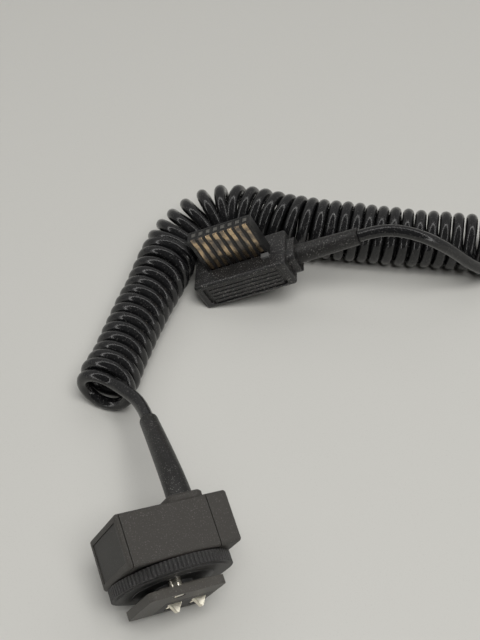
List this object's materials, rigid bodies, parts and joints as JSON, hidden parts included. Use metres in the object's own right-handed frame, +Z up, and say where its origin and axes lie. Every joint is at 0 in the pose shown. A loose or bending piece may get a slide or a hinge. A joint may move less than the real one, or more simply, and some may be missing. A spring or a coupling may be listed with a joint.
{
  "type": "coiled off-camera flash cord",
  "caption": "Coiled flash extension cord: a hot-shoe adapter with a knurled locking wheel, a curly cord in an L bend, and a many-contact flash plug.",
  "frame": {"origin": "on the floor, at the middle of the hot-shoe adapter's footprint", "axes": "+Z is up; +Y is the way the adapter's cord end points, roughly, and the adapter's longest side; +X is to the right as seen from in front of the adapter. The adapter lies on its wheel's rim, with the foot towards -Y and down."},
  "size_m": [0.1166, 0.1401, 0.0339],
  "materials": {
    "housing_plastic": "fine satin-matte moulded black plastic",
    "panel_film": "plain black plate, slightly smoother than the housing",
    "wheel_plastic": "matte black with a fine knurl round the rim",
    "dark_metal": "black painted steel, semi-matte",
    "foot_metal": "black painted metal foot, edges a little polished",
    "pin_steel": "polished plated steel",
    "contact_metal": "bright plated spring metal",
    "plug_contacts": "plated copper alloy, brighter at the heads",
    "inner_plastic": "plain black moulded insulator",
    "tongue_plastic": "dark moulded insulator, slightly glossy",
    "key_plastic": "pale grey moulded key",
    "plug_plastic": "satin black moulded plastic",
    "grip_panel": "ribbed black grip plate",
    "relief_rubber": "semi-matte black moulded strain relief",
    "cord_jacket": "glossy black flexible jacket",
    "lead_jacket": "thin insulated wires",
    "black_screws": "blackened steel",
    "board": "glass-fibre circuit board with solder mask"
  },
  "bodies": {
    "root": {"main_housing": "housing_plastic", "side_cap": "housing_plastic", "side_panel": "panel_film", "end_cover": "housing_plastic", "housing_screws": "black_screws", "floor_plate": "inner_plastic", "foot_stem": "dark_metal", "shoe_foot": "foot_metal", "foot_screws": "black_screws", "contact_block": "inner_plastic", "cable_gland": "housing_plastic", "adapter_strain_relief": "relief_rubber", "circuit_board": "board", "board_standoffs": "inner_plastic", "cord_clamp": "pin_steel", "contact_leads": "lead_jacket", "plug_front_shell": "plug_plastic", "plug_rear_shell": "plug_plastic", "front_grip_panel": "grip_panel", "rear_grip_panel": "grip_panel", "contact_tongue": "tongue_plastic", "front_contacts": "plug_contacts", "rear_contacts": "contact_metal", "polarising_key": "key_plastic", "plug_collar": "plug_plastic", "plug_strain_relief": "relief_rubber", "plug_board": "board", "adapter_lead": "cord_jacket", "cord_coil": "cord_jacket", "plug_lead": "cord_jacket"},
    "clamp_carriage": {"clamp_washer": "dark_metal", "lock_pin": "pin_steel"},
    "locking_wheel": {"locking_wheel": "wheel_plastic"},
    "centre_contact": {"centre_contact": "contact_metal"},
    "side_contact": {"side_contact": "contact_metal"}
  },
  "joints": [
    {"name": "clamp_travel", "type": "slide", "parent": "root", "child": "clamp_carriage", "axis": [0.322, -0.8962, -0.3052], "range_m": [0, 0.000937]},
    {"name": "wheel_turn", "type": "hinge", "parent": "clamp_carriage", "child": "locking_wheel", "pos_m": [0.00093, -0.01447, 0.01441], "axis": [0.322, -0.8962, -0.3052], "range_deg": [0, 450]},
    {"name": "centre_contact_press", "type": "hinge", "parent": "root", "child": "centre_contact", "pos_m": [0.00037, -0.01885, 0.00611], "axis": [-0.8716, -0.4064, 0.274], "range_deg": [0, 6], "stiffness_Nm_per_rad": 0.02},
    {"name": "side_contact_press", "type": "hinge", "parent": "root", "child": "side_contact", "pos_m": [0.00568, -0.01637, 0.00444], "axis": [-0.8716, -0.4064, 0.274], "range_deg": [0, 6], "stiffness_Nm_per_rad": 0.02}
  ],
  "couplings": [
    {"joint": "wheel_turn", "follows": "clamp_travel", "rad_per_m": 8377.6}
  ]
}
